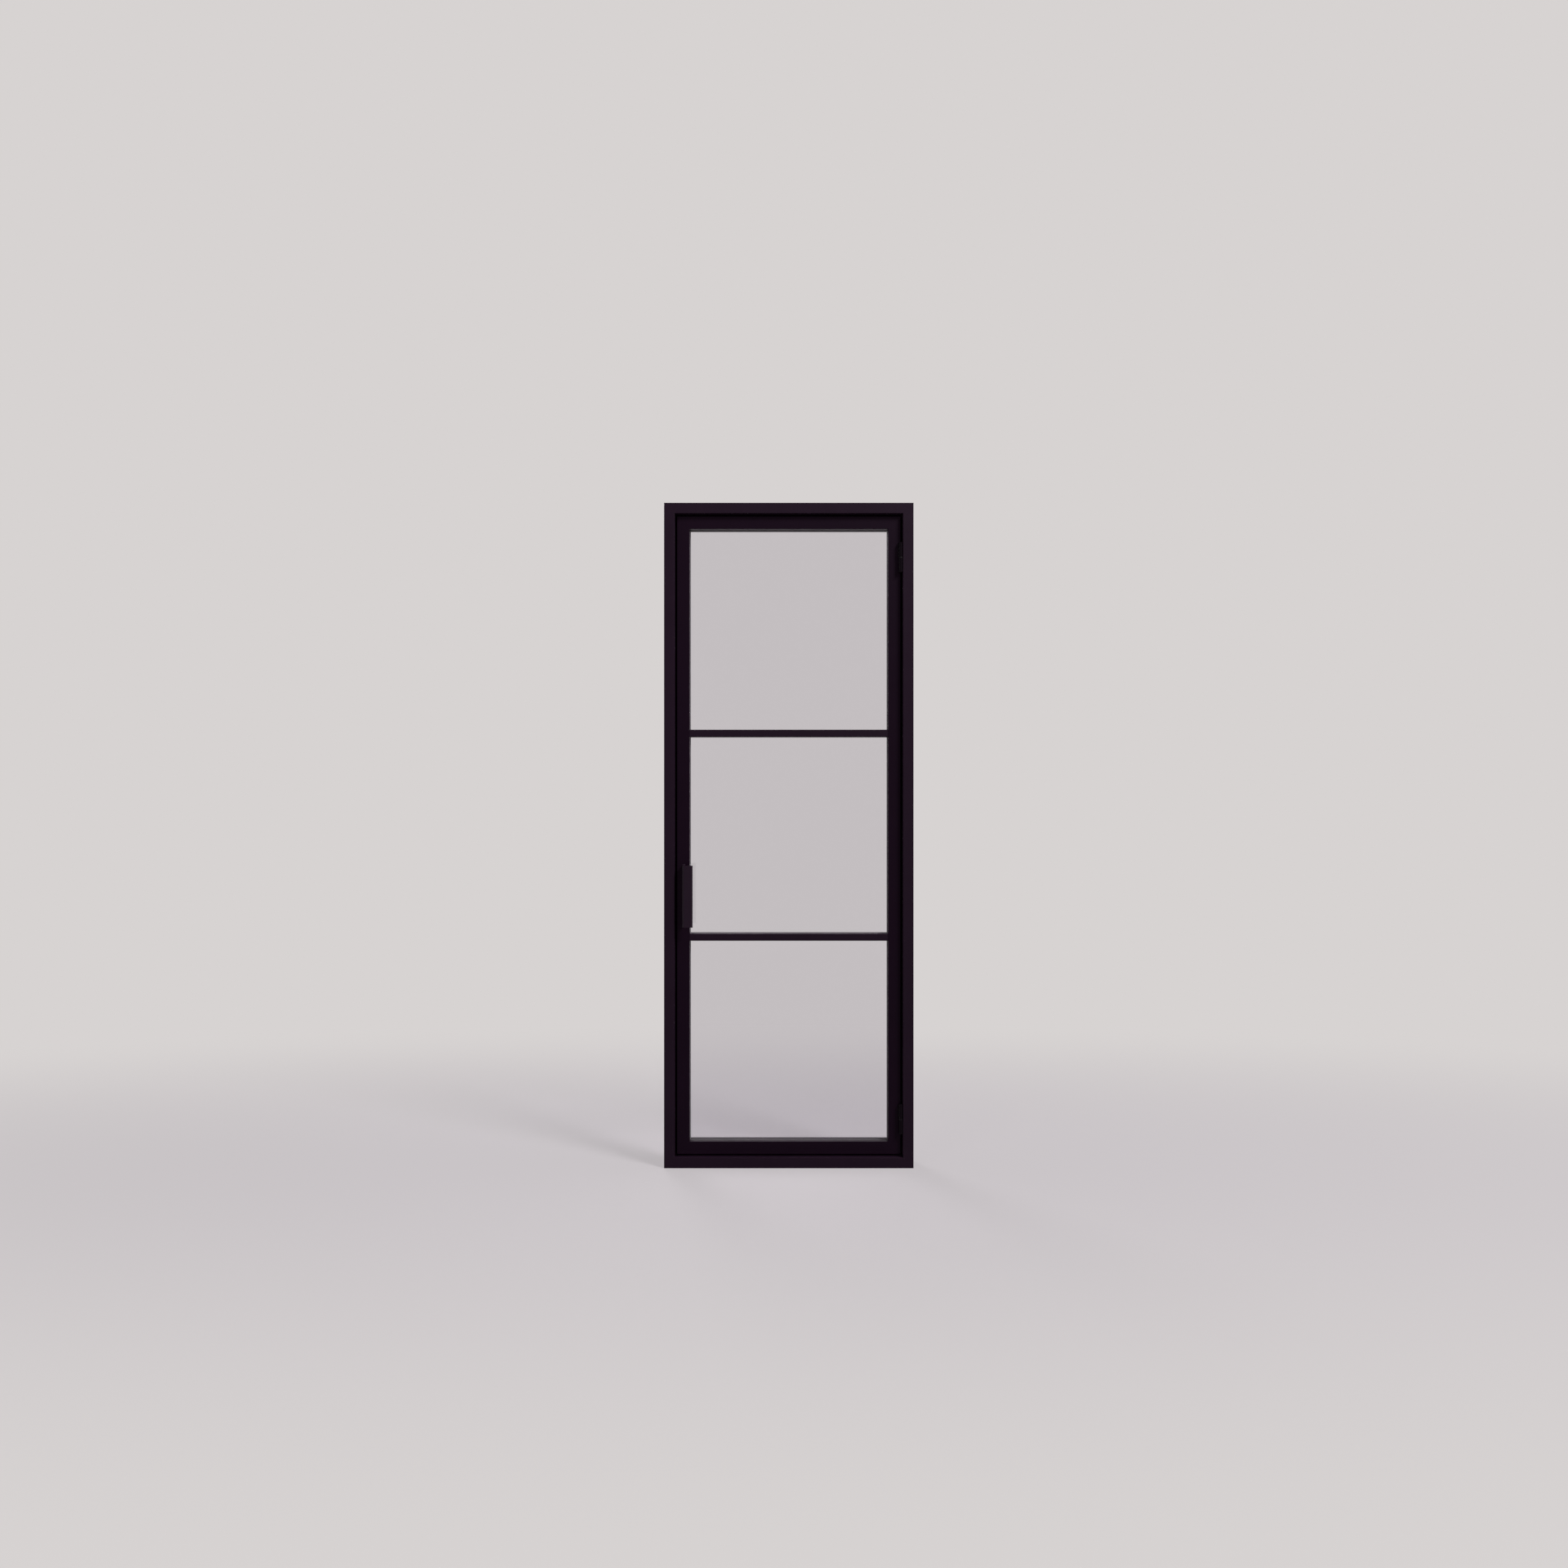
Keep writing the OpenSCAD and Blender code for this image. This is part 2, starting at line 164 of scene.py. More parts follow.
class DoorStage(bpy.types.PropertyGroup):
    """The camera, the floor and the surroundings"""
    lens: FloatProperty(
        name="Lens", description="Focal length on a 36 mm square frame", default=21.71, unit="CAMERA",
    )
    camera_height: length("Camera height", "Height of the level camera above the floor", 1.3858)
    camera_distance: length("Camera distance", "From the camera to the frame's front", 3.409)
    camera_side: length("Camera side", "Sideways place of the camera", -0.0173)
    floor: colour("Floor", "Colour of the plain floor", "#C2BDC0")
    floor_bounce: colour("Floor bounce", "Colour of the light that the floor throws back", "#4A484A")
    backdrop: colour("Backdrop", "Colour of the pale surroundings", "#D7D3D2")
    floor_radius: length("Floor radius", "Radius of the round floor", 30.0)
    fade_start: length("Fade start", "How far from the door's plane the floor starts to fade", 0.1)
    fade_end: length("Fade end", "How far from the door's plane the floor has become the backdrop", 2.0)
    floor_own: share("Own tone", "Part of the floor's tone at the door that is its own", 0.72)
    world_light: share("World light", "Strength of the surroundings as light", 0.13)


# Nodes and materials


def add(tree, kind, sockets=None, **settings):
    """A new node with its settings, each socket set to a value or linked to another node's output."""
    made = tree.nodes.new(kind)
    for name, value in settings.items():
        setattr(made, name, value)
    for name, value in (sockets or {}).items():
        if isinstance(value, bpy.types.NodeSocket):
            tree.links.new(value, made.inputs[name])
        else:
            made.inputs[name].default_value = value
    return made


def new_material(name):
    """An empty node material and its tree."""
    made = bpy.data.materials.new(name)
    made.use_nodes = True
    made.node_tree.nodes.clear()
    return made, made.node_tree


def per_metre(size_mm):
    """The scale of a pattern on Object coordinates whose features are size_mm wide."""
    return 1 / (size_mm * MM)


def powder_coat(name, coat, gloss, roughness):
    """Polyester powder coat, sprayed on steel and baked: nearly black, with an aubergine cast.

    The eye sees a fine orange peel and a dull sheen. Square on, the coat mirrors little: gloss is the
    share of a smooth plastic's mirror image that it keeps. Along a narrow reveal it shines like any
    plastic, unless it is matt. roughness is its lowest and highest value.
    """
    mat, tree = new_material(name)
    place = add(tree, "ShaderNodeTexCoord").outputs["Object"]
    # The coat's thickness drifts over a hand's width, which lightens or darkens it by a sixth
    drift = add(tree, "ShaderNodeTexNoise", {"Vector": place, "Scale": per_metre(120), "Detail": 3.0})
    thin, thick = ([c * f for c in coat[:3]] + [1.0] for f in (1.17, 0.83))
    tone = add(
        tree, "ShaderNodeMix", {"Factor": drift.outputs["Fac"], 6: thick, 7: thin}, data_type="RGBA",
    )
    # The roughness varies with flow marks about 25 mm wide
    flow = add(tree, "ShaderNodeTexNoise", {"Vector": place, "Scale": per_metre(25), "Detail": 4.0})
    rough = add(tree, "ShaderNodeMapRange", {
        "Value": flow.outputs["Fac"], "To Min": roughness[0], "To Max": roughness[1],
    })
    # Real orange peel is 1 to 3 mm wide; drawn at 4 mm so that it shows
    peel = add(tree, "ShaderNodeTexNoise", {"Vector": place, "Scale": per_metre(4), "Detail": 1.0})
    bump = add(tree, "ShaderNodeBump", {
        "Height": peel.outputs["Fac"], "Strength": 0.5, "Distance": 0.3 * MM,
    })
    # The powder's grain is about 0.3 mm; drawn at 1 mm so that it shows
    grain = add(tree, "ShaderNodeTexNoise", {"Vector": place, "Scale": per_metre(1), "Detail": 1.0})
    bump = add(tree, "ShaderNodeBump", {
        "Height": grain.outputs["Fac"], "Strength": 0.4, "Distance": 0.1 * MM,
        "Normal": bump.outputs["Normal"],
    })
    shader = add(tree, "ShaderNodeBsdfPrincipled", {
        "Base Color": tone.outputs[2], "Roughness": rough.outputs["Result"],
        "Normal": bump.outputs["Normal"], "IOR": 1.5, "Specular Tint": (gloss, gloss, gloss, 1.0),
    })
    add(tree, "ShaderNodeOutputMaterial", {"Surface": shader.outputs["BSDF"]})
    return mat


def clear_glass(finishes):
    """Toughened float glass: clear, with the faint long waves that the toughening rollers leave."""
    mat, tree = new_material("toughened_float_glass")
    place = add(tree, "ShaderNodeTexCoord").outputs["Object"]
    # Roller waves run across the pane, about 280 mm from crest to crest
    wave = add(tree, "ShaderNodeTexNoise", {"Vector": place, "Scale": per_metre(280), "Detail": 0.0})
    bump = add(tree, "ShaderNodeBump", {
        "Height": wave.outputs["Fac"], "Strength": 0.25, "Distance": 0.3 * MM,
    })
    glass = add(tree, "ShaderNodeBsdfPrincipled", {
        "Base Color": finishes.glass, "Roughness": 0.0, "IOR": 1.52, "Transmission Weight": 1.0,
        "Normal": bump.outputs["Normal"],
    })
    # Light from the lamps passes straight through, so that the panes cast almost no shadow
    clear = add(tree, "ShaderNodeBsdfTransparent", {"Color": finishes.glass})
    path = add(tree, "ShaderNodeLightPath")
    mix = add(tree, "ShaderNodeMixShader", {
        "Fac": path.outputs["Is Shadow Ray"], 1: glass.outputs["BSDF"], 2: clear.outputs["BSDF"],
    })
    add(tree, "ShaderNodeOutputMaterial", {"Surface": mix.outputs["Shader"]})
    return mat


def extruded_rubber(finishes):
    """Black EPDM rubber, extruded: matt, with a dusty bloom and a fine grain from the die."""
    mat, tree = new_material("epdm_rubber_black")
    place = add(tree, "ShaderNodeTexCoord").outputs["Object"]
    # The bloom comes in clouds about 18 mm wide
    bloom = add(tree, "ShaderNodeTexNoise", {"Vector": place, "Scale": per_metre(18), "Detail": 4.0})
    rough = add(tree, "ShaderNodeMapRange", {
        "Value": bloom.outputs["Fac"], "To Min": 0.55, "To Max": 0.75,
    })
    # The grain that the die leaves is about 0.2 mm; drawn at 0.8 mm so that it shows
    grain = add(tree, "ShaderNodeTexNoise", {"Vector": place, "Scale": per_metre(0.8), "Detail": 2.0})
    bump = add(tree, "ShaderNodeBump", {
        "Height": grain.outputs["Fac"], "Strength": 0.2, "Distance": 0.1 * MM,
    })
    shader = add(tree, "ShaderNodeBsdfPrincipled", {
        "Base Color": finishes.rubber, "Roughness": rough.outputs["Result"],
        "Normal": bump.outputs["Normal"], "IOR": 1.5,
    })
    add(tree, "ShaderNodeOutputMaterial", {"Surface": shader.outputs["BSDF"]})
    return mat


def sealant_with_painted_sheen(finishes):
    """Grey glazing silicone, tooled hollow by a wet finger: smooth, softly shiny, a little uneven. Its
    pale grey is partly its own and partly painted reflection of the steel reveals' sheen at a grazing
    angle.
    """
    mat, tree = new_material("silicone_sealant_grey_painted_sheen")
    place = add(tree, "ShaderNodeTexCoord").outputs["Object"]
    # The finger drags and skips about every 40 mm
    drag = add(tree, "ShaderNodeTexNoise", {"Vector": place, "Scale": per_metre(40), "Detail": 3.0})
    rough = add(tree, "ShaderNodeMapRange", {
        "Value": drag.outputs["Fac"], "To Min": 0.3, "To Max": 0.5,
    })
    bump = add(tree, "ShaderNodeBump", {
        "Height": drag.outputs["Fac"], "Strength": 0.3, "Distance": 0.4 * MM,
    })
    shader = add(tree, "ShaderNodeBsdfPrincipled", {
        "Base Color": finishes.sealant_and_sheen, "Roughness": rough.outputs["Result"],
        "Normal": bump.outputs["Normal"], "IOR": 1.43,
    })
    add(tree, "ShaderNodeOutputMaterial", {"Surface": shader.outputs["BSDF"]})
    return mat


def moulded_nylon(finishes):
    """Black moulded nylon: a dull, faintly waxy surface with the fine grain of a spark-eroded mould."""
    mat, tree = new_material("moulded_nylon_black")
    place = add(tree, "ShaderNodeTexCoord").outputs["Object"]
    # The mould's grain is about 0.1 mm; drawn at 0.6 mm so that it shows
    grain = add(tree, "ShaderNodeTexNoise", {"Vector": place, "Scale": per_metre(0.6), "Detail": 2.0})
    rough = add(tree, "ShaderNodeMapRange", {
        "Value": grain.outputs["Fac"], "To Min": 0.45, "To Max": 0.6,
    })
    bump = add(tree, "ShaderNodeBump", {
        "Height": grain.outputs["Fac"], "Strength": 0.15, "Distance": 0.05 * MM,
    })
    shader = add(tree, "ShaderNodeBsdfPrincipled", {
        "Base Color": finishes.nylon, "Roughness": rough.outputs["Result"],
        "Normal": bump.outputs["Normal"], "IOR": 1.53, "Specular Tint": (0.2, 0.2, 0.2, 1.0),
    })
    add(tree, "ShaderNodeOutputMaterial", {"Surface": shader.outputs["BSDF"]})
    return mat


def blackened_screw(finishes):
    """Steel blackened in a hot oxide bath and oiled: a dark skin with an uneven, oily sheen."""
    mat, tree = new_material("black_oxide_steel")
    place = add(tree, "ShaderNodeTexCoord").outputs["Object"]
    # The oil stands in spots about a quarter of a screw's head wide
    oil = add(tree, "ShaderNodeTexNoise", {"Vector": place, "Scale": per_metre(1.5), "Detail": 3.0})
    rough = add(tree, "ShaderNodeMapRange", {"Value": oil.outputs["Fac"], "To Min": 0.3, "To Max": 0.5})
    shader = add(tree, "ShaderNodeBsdfPrincipled", {
        "Base Color": finishes.screw, "Roughness": rough.outputs["Result"], "IOR": 1.5,
    })
    add(tree, "ShaderNodeOutputMaterial", {"Surface": shader.outputs["BSDF"]})
    return mat


def paint_nodes(names, mat):
    """Give CAD nodes a finish, in every material slot."""
    for name in names:
        piece = frame["nodes"][name]
        if not piece.material_slots:
            piece.data.materials.append(mat)
        for holder in piece.material_slots:
            holder.material = mat


def finish_of(name):
    """The material that a CAD node has been given."""
    return frame["nodes"][name].material_slots[0].material


# Surfaces as grids of points


def grid_faces(rows, columns, wrap_rows, wrap_columns):
    """The quads of a grid of points, counted row by row."""
    u = np.arange(rows if wrap_rows else rows - 1)[:, None]
    v = np.arange(columns if wrap_columns else columns - 1)[None, :]
    u2, v2 = (u + 1) % rows, (v + 1) % columns
    corners = [u * columns + v, u2 * columns + v, u2 * columns + v2, u * columns + v2]
    return np.stack(np.broadcast_arrays(*corners), -1).reshape(-1, 4)


def build(name, sheets, mat, body, wrap_rows=False, wrap_columns=True, sharp_deg=35):
    """One piece from sheets[n, rows, columns, xyz], with seams and poles merged and faces outward."""
    sheets = np.asarray(sheets, float)
    count, rows, columns = sheets.shape[:3]
    faces = grid_faces(rows, columns, wrap_rows, wrap_columns)
    faces = (faces[None] + (np.arange(count) * rows * columns)[:, None, None]).reshape(-1, 4)
    mesh = bpy.data.meshes.new(name)
    mesh.from_pydata(sheets.reshape(-1, 3), [], faces)
    shape = bmesh.new()
    shape.from_mesh(mesh)
    bmesh.ops.remove_doubles(shape, verts=shape.verts, dist=MERGE)
    bmesh.ops.dissolve_degenerate(shape, edges=shape.edges, dist=MERGE)
    bmesh.ops.recalc_face_normals(shape, faces=shape.faces)
    shape.to_mesh(mesh)
    shape.free()
    mesh.polygons.foreach_set("use_smooth", np.ones(len(mesh.polygons), bool))
    mesh.set_sharp_from_angle(angle=math.radians(sharp_deg))
    mesh.materials.append(mat)
    piece = bpy.data.objects.new(name, mesh)
    bpy.context.scene.collection.objects.link(piece)
    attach(piece, body)
    return piece


def revolved(profile, columns, axis, hexagon=()):
    """A profile of (radius, height) turned about the origin, its height along axis.

    Rows named in hexagon are six-sided, with their radius as half the width across flats.
    """
    profile = np.asarray(profile, float)
    angle = np.linspace(0, 2 * math.pi, columns, endpoint=False)
    radius = np.repeat(profile[:, :1], columns, axis=1)
    sixth = math.pi / 3
    flats = 1 / np.cos((angle + sixth / 2) % sixth - sixth / 2)
    for row in hexagon:
        radius[row] *= flats
    axis = Vector(axis)
    side = axis.orthogonal().normalized()
    other = axis.cross(side)
    side, other, axis = (np.array(v) for v in (side, other, axis))
    ring = np.cos(angle)[:, None] * side + np.sin(angle)[:, None] * other
    return radius[:, :, None] * ring + profile[:, 1][:, None, None] * axis


def weld_fillet(start, end, leg_a, leg_b, leg, ripple):
    """A weld from start to end in the corner between two walls.

    Across it, the surface goes straight from leg along leg_a to leg along leg_b, plus a bulge of
    sin(pi t). Along it, ripples raise that bulge by |sin|. Each end tapers to a point over 0.8 of the
    leg, by the square root of the way gone. The root runs SUNK behind the corner.
    """
    start, end, leg_a, leg_b = (np.asarray(v, float) for v in (start, end, leg_a, leg_b))
    span = np.linalg.norm(end - start)
    steps = max(12, int(round(span / ripple * 4)))
    s = np.linspace(0, 1, steps)[:, None]
    t = np.linspace(0, 1, WELD_POINTS)[None, :]
    taper = np.sqrt(np.clip(np.minimum(s, 1 - s) * span / (0.8 * leg), 0, 1))
    scallop = np.abs(np.sin(math.pi * s * span / ripple - WELD_LAG * (2 * t - 1) ** 2))
    bulge = (WELD_CROWN + WELD_RIPPLE * scallop) * np.sin(math.pi * t) * leg * taper
    a = (1 - t) * leg * taper + bulge
    b = t * leg * taper + bulge
    centre = start + s[:, :, None] * (end - start)
    skin = centre + a[:, :, None] * leg_a + b[:, :, None] * leg_b
    root = centre - SUNK * taper[:, :, None] * (leg_a + leg_b)
    return np.concatenate([skin, root], axis=1)


def weld_round(low_corner, high_corner, face, out, leg, ripple):
    """A weld that runs round the foot of a plate, in the corner between the plate and a face across y.

    The path goes round the foot's rectangle in x and z, a point to each quarter ripple. At each point
    the fillet reaches leg along the outward normal and leg along out. The normal turns steadily through
    a right angle at each corner, on an arc whose middle radius is 0.7 of the leg. Ripples raise the
    fillet's middle by |sin| of the way gone.
    """
    (x0, z0), (x1, z1) = low_corner, high_corner
    corners = np.array([[x0, z0], [x1, z0], [x1, z1], [x0, z1]])
    travelled = 0.0
    points, normal_list, way_list = [], [], []
    turn = np.linspace(0, math.pi / 2, 9)
    bend = 0.7 * leg
    for i, corner in enumerate(corners):
        following = corners[(i + 1) % 4]
        run = np.linalg.norm(following - corner)
        direction = (following - corner) / run
        normal = np.array([direction[1], -direction[0]])
        steps = max(2, int(round(run / ripple * 4)))
        t = np.linspace(0, 1, steps)[:, None]
        points.append(corner + t * (following - corner))
        normal_list.append(np.repeat(normal[None], steps, 0))
        way_list.append(travelled + t[:, 0] * run)
        travelled += run
        arc = turn[1:-1, None]
        points.append(np.repeat(following[None], len(arc), 0))
        normal_list.append(np.cos(arc) * normal + np.sin(arc) * direction)
        way_list.append(travelled + arc[:, 0] * bend)
        travelled += math.pi / 2 * bend
    path = np.concatenate(points)
    normal = np.concatenate(normal_list)
    way = np.concatenate(way_list)[:, None]
    t = np.linspace(0, 1, WELD_POINTS)[None, :]
    scallop = np.abs(np.sin(math.pi * way / ripple - WELD_LAG * (2 * t - 1) ** 2))
    bulge = (WELD_CROWN + WELD_RIPPLE * scallop) * np.sin(math.pi * t) * leg
    across = (1 - t) * leg + bulge
    rise = t * leg + bulge
    flat = path[:, None] + across[:, :, None] * normal[:, None]
    skin = np.stack([flat[..., 0], face + out * rise, flat[..., 1]], -1)
    root = np.stack([path[:, 0], np.full(len(path), face - out * SUNK), path[:, 1]], -1)[:, None]
    return np.concatenate([skin, root], axis=1)


def closed_ring(profile, x0, x1, z0, z1):
    """A profile of (distance inward, y) carried round a rectangle, with mitred corners."""
    profile = np.asarray(profile, float)
    inward, depth = profile[:, 0], profile[:, 1]
    x = np.stack([x0 + inward, x1 - inward, x1 - inward, x0 + inward])
    z = np.stack([z0 + inward, z0 + inward, z1 - inward, z1 - inward])
    return np.stack([x, np.broadcast_to(depth, x.shape), z], -1)


def seam_ridge(start, end, out, width, height):
    """A low ridge from start to end on a wall that faces out, its height a parabola across it."""
    start, end, out = (np.asarray(v, float) for v in (start, end, out))
    along = (end - start) / np.linalg.norm(end - start)
    side = np.cross(along, out)
    s = np.linspace(0, 1, 12)[:, None]
    t = np.linspace(-1, 1, SEAM_POINTS)[None, :]
    rise = height * (1 - t ** 2) * np.ones_like(s)
    centre = start + s[:, :, None] * (end - start)
    skin = centre + (width / 2 * t)[:, :, None] * side + rise[:, :, None] * out
    root = skin.mean(axis=1, keepdims=True) - 2 * height * out
    return np.concatenate([skin, root], axis=1)


# Where the CAD nodes are


def low(name):
    """A node's lowest corner."""
    return np.array(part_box(name)[0])


def high(name):
    """A node's highest corner."""
    return np.array(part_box(name)[1])


def size_of(name):
    """A node's width, depth and height."""
    return high(name) - low(name)


def pane_opening(pane):
    """The pane's visible rectangle between its four beads, as x0, x1, z0 and z1."""
    return (
        high(f"bead_{pane}_left")[0], low(f"bead_{pane}_right")[0],
        high(f"bead_{pane}_lower")[2], low(f"bead_{pane}_upper")[2],
    )


# Operators, one for each group of pieces


class DOOR_OT_steel(bpy.types.Operator):
    """Powder-coat the frame, stops, leaf, bars, beads, hinges and pull"""
    bl_idname = "door.steel"
    bl_label = "Powder-coated steel"

    def execute(self, context):
        finishes = context.scene.door_finishes
        coat, frame_gloss = finishes.coat, finishes.frame_gloss
        leaf_coat_painted_shade, hinge_coat_painted_shade = finishes.leaf_coat_painted_shade, finishes.hinge_coat_painted_shade
        for nodes, name, tone, gloss, roughness in (
            (FRAME_STEEL + BEADS, "powder_coat_satin", coat, frame_gloss, SATIN),
            (BARS, "powder_coat_matt", coat, frame_gloss, MATT),
            # A darker copy of the satin coat, painted shade for the leaf's recess behind the frame
            (LEAF_STEEL, "powder_coat_satin_leaf_painted_shade", leaf_coat_painted_shade, finishes.leaf_gloss, SATIN),
            (PULL_STEEL, "powder_coat_handled", coat, finishes.pull_gloss, SATIN),
            # A darker copy of the coat, painted shade for the hinges in the jamb's shadow
            (HINGE_STEEL, "powder_coat_hinge_painted_shade", hinge_coat_painted_shade, finishes.hinge_gloss, SMOOTH),
        ):
            paint_nodes(nodes, powder_coat(name, tone, gloss, roughness))
        return {"FINISHED"}


class DOOR_OT_glass(bpy.types.Operator):
    """Make the three panes clear glass"""
    bl_idname = "door.glass"
    bl_label = "Glass panes"

    def execute(self, context):
        paint_nodes([f"glass_{pane}" for pane in PANES], clear_glass(context.scene.door_finishes))
        return {"FINISHED"}


class DOOR_OT_rubber(bpy.types.Operator):
    """Make the seals and tapes rubber, and lay a silicone lip round each pane, front and back, whose
    pale grey is partly painted reflection of the reveals' sheen
    """
    bl_idname = "door.rubber"
    bl_label = "Rubber seals and glazing lips"

    def execute(self, context):
        finishes = context.scene.door_finishes
        leg = context.scene.door_details.lip
        sunk = 0.01 * MM
        paint_nodes(SEALS + TAPES, extruded_rubber(finishes))
        # The lips' pale grey is partly painted reflection, the reveals' sheen at a grazing angle
        mat = sealant_with_painted_sheen(finishes)
        # A hollow quarter circle from the steel to the glass
        angle = np.linspace(0, math.pi / 2, 7)
        hollow = np.stack([leg * (1 - np.sin(angle)), leg * (1 - np.cos(angle))], -1)
        for pane in PANES:
            glass = f"glass_{pane}"
            for side, face, out in (("front", low(glass)[1], -1), ("back", high(glass)[1], 1)):
                profile = np.concatenate([[[-sunk, 0]], hollow])
                profile[:, 1] = face + out * profile[:, 1]
                ring = closed_ring(profile, *pane_opening(pane))
                build(f"glazing_lip_{pane}_{side}", [ring], mat, "leaf", wrap_rows=True)
        return {"FINISHED"}


class DOOR_OT_washers(bpy.types.Operator):
    """Make the hinges' bearing washers nylon"""
    bl_idname = "door.washers"
    bl_label = "Nylon washers"

    def execute(self, context):
        paint_nodes([f"hinge_{h}_washer" for h in HINGES], moulded_nylon(context.scene.door_finishes))
        return {"FINISHED"}


class DOOR_OT_bead_screws(bpy.types.Operator):
    """Set button-head screws along the glazing beads on the back"""
    bl_idname = "door.bead_screws"
    bl_label = "Bead screws"

    def execute(self, context):
        details = context.scene.door_details
        r = details.screw_d / 2
        sunk = 0.02 * MM
        # A button head: an ellipse of 0.55 of its radius in height, cut off for a hexagon socket
        dome = [(r * math.cos(a), 0.55 * r * math.sin(a)) for a in np.linspace(0, 1.05, 5)]
        rim = dome[-1][1]
        socket = 0.42 * r
        profile = [(0, -sunk), (r, -sunk)] + dome
        profile += [(1.15 * socket, rim + 0.02 * r), (socket, rim), (socket, 0.1 * r), (0, 0.08 * r)]
        head = revolved(profile, HEAD_POINTS, (0, 1, 0), hexagon=(-3, -2))
        mat = blackened_screw(context.scene.door_finishes)
        for pane in PANES:
            places = []
            for side in ACROSS + UPRIGHT:
                bead = f"bead_{pane}_{side}"
                centre, size = (low(bead) + high(bead)) / 2, size_of(bead)
                run = 0 if side in ACROSS else 2
                reach = size[run] / 2 - details.screw_end
                count = int(math.ceil(2 * reach / details.screw_pitch)) + 1
                spots = np.tile([centre[0], high(bead)[1], centre[2]], (count, 1))
                spots[:, run] += np.linspace(-reach, reach, count)
                places.append(spots)
            places = np.concatenate(places)
            heads = places[:, None, None] + head[None]
            build(f"bead_screws_{pane}", heads, mat, "leaf")
        return {"FINISHED"}


class DOOR_OT_jamb_caps(bpy.types.Operator):
    """Plug the access holes of the wall fixings with domed caps"""
    bl_idname = "door.jamb_caps"
    bl_label = "Fixing hole caps"

    def execute(self, context):
        r = context.scene.door_details.cap_d / 2
        rise = 0.6 * MM
        # A quarter round of 0.06 of the radius at the edge, then a shallow parabola to the middle
        round_in, round_up = 0.06, 0.45
        edge = [
            (r * (1 - round_in * (1 - math.cos(a))), round_up * rise * math.sin(a))
            for a in (0, 0.8, 1.57)
        ]
        dome = [
            (r * (1 - round_in) * c, round_up * rise + (1 - round_up) * rise * (1 - c ** 2))
            for c in (0.85, 0.6, 0.35, 0.15, 0)
        ]
        profile = [(0, -SUNK), (r, -SUNK)] + edge + dome
        mat = finish_of("hinge_upper_washer")
        mounts = {m["name"]: m for m in frame["record"]["mounts"]}
        for side in ("latch", "hinge"):
            jamb = f"frame_jamb_{side}"
            way = 1 if side == "latch" else -1
            x = high(jamb)[0] if side == "latch" else low(jamb)[0]
            cap = revolved(profile, CAP_POINTS, (way, 0, 0))
            places = []
            for pair in ("outer", "inner"):
                mount = mounts[f"jamb_fixings_{side}_{pair}"]
                half = mount["dims"]["spacing_y_mm"] * MM / 2
                places += [(x, mount["pos_m"][1], mount["pos_m"][2] + s * half) for s in (-1, 1)]
            caps = np.array(places)[:, None, None] + cap[None]
            build(f"jamb_caps_{side}", caps, mat, "frame")
        return {"FINISHED"}


class DOOR_OT_welds(bpy.types.Operator):
    """Lay weld fillets at the feet of the hinges and of the pull"""
    bl_idname = "door.welds"
    bl_label = "Hinge and pull welds"

    def execute(self, context):
        details = context.scene.door_details
        leg, ripple = details.hinge_weld, details.weld_ripple
        # The hinge welds take the hinges' darker coat, with its painted shade
        mat = finish_of("hinge_upper_pin_half")
        jamb_x = low("frame_jamb_hinge")[0]
        leaf_face = low("leaf_hinge_stile")[1]
        # A weld stops this far from a barrel's outer end and from the joint between its halves
        outer, inner = 2 * MM, 1 * MM
        # Half the thickness of the foot between the pin half's barrel and the jamb
        foot = 4 * MM
        for hinge in HINGES:
            pin_half, leaf_half = f"hinge_{hinge}_pin_half", f"hinge_{hinge}_leaf_half"
            foot_y = (low(pin_half)[1] + high(pin_half)[1]) / 2
            z0, z1 = low(pin_half)[2] + outer, low(f"hinge_{hinge}_washer")[2] - inner
            runs = [
                weld_fillet(
                    (jamb_x, foot_y + s * foot, z0), (jamb_x, foot_y + s * foot, z1),
                    (-1, 0, 0), (0, s, 0), leg, ripple,
                )
                for s in (-1, 1)
            ]
            build(f"hinge_{hinge}_jamb_welds", runs, mat, "frame")
            x, z0, z1 = low(leaf_half)[0], low(leaf_half)[2] + inner, high(leaf_half)[2] - outer
            run = weld_fillet(
                (x, leaf_face, z0), (x, leaf_face, z1), (-1, 0, 0), (0, -1, 0), leg, ripple,
            )
            build(f"hinge_{hinge}_leaf_weld", [run], mat, "leaf")
        x, z0, z1 = low("pull_front")[0], low("pull_front")[2], high("pull_front")[2]
        corners = (x, z0), (x + details.pull_plate, z1)
        ring = weld_round(*corners, low("leaf_latch_stile")[1], -1, details.pull_weld, ripple)
        build("pull_front_weld", [ring], finish_of("pull_front"), "leaf", wrap_rows=True)
        return {"FINISHED"}


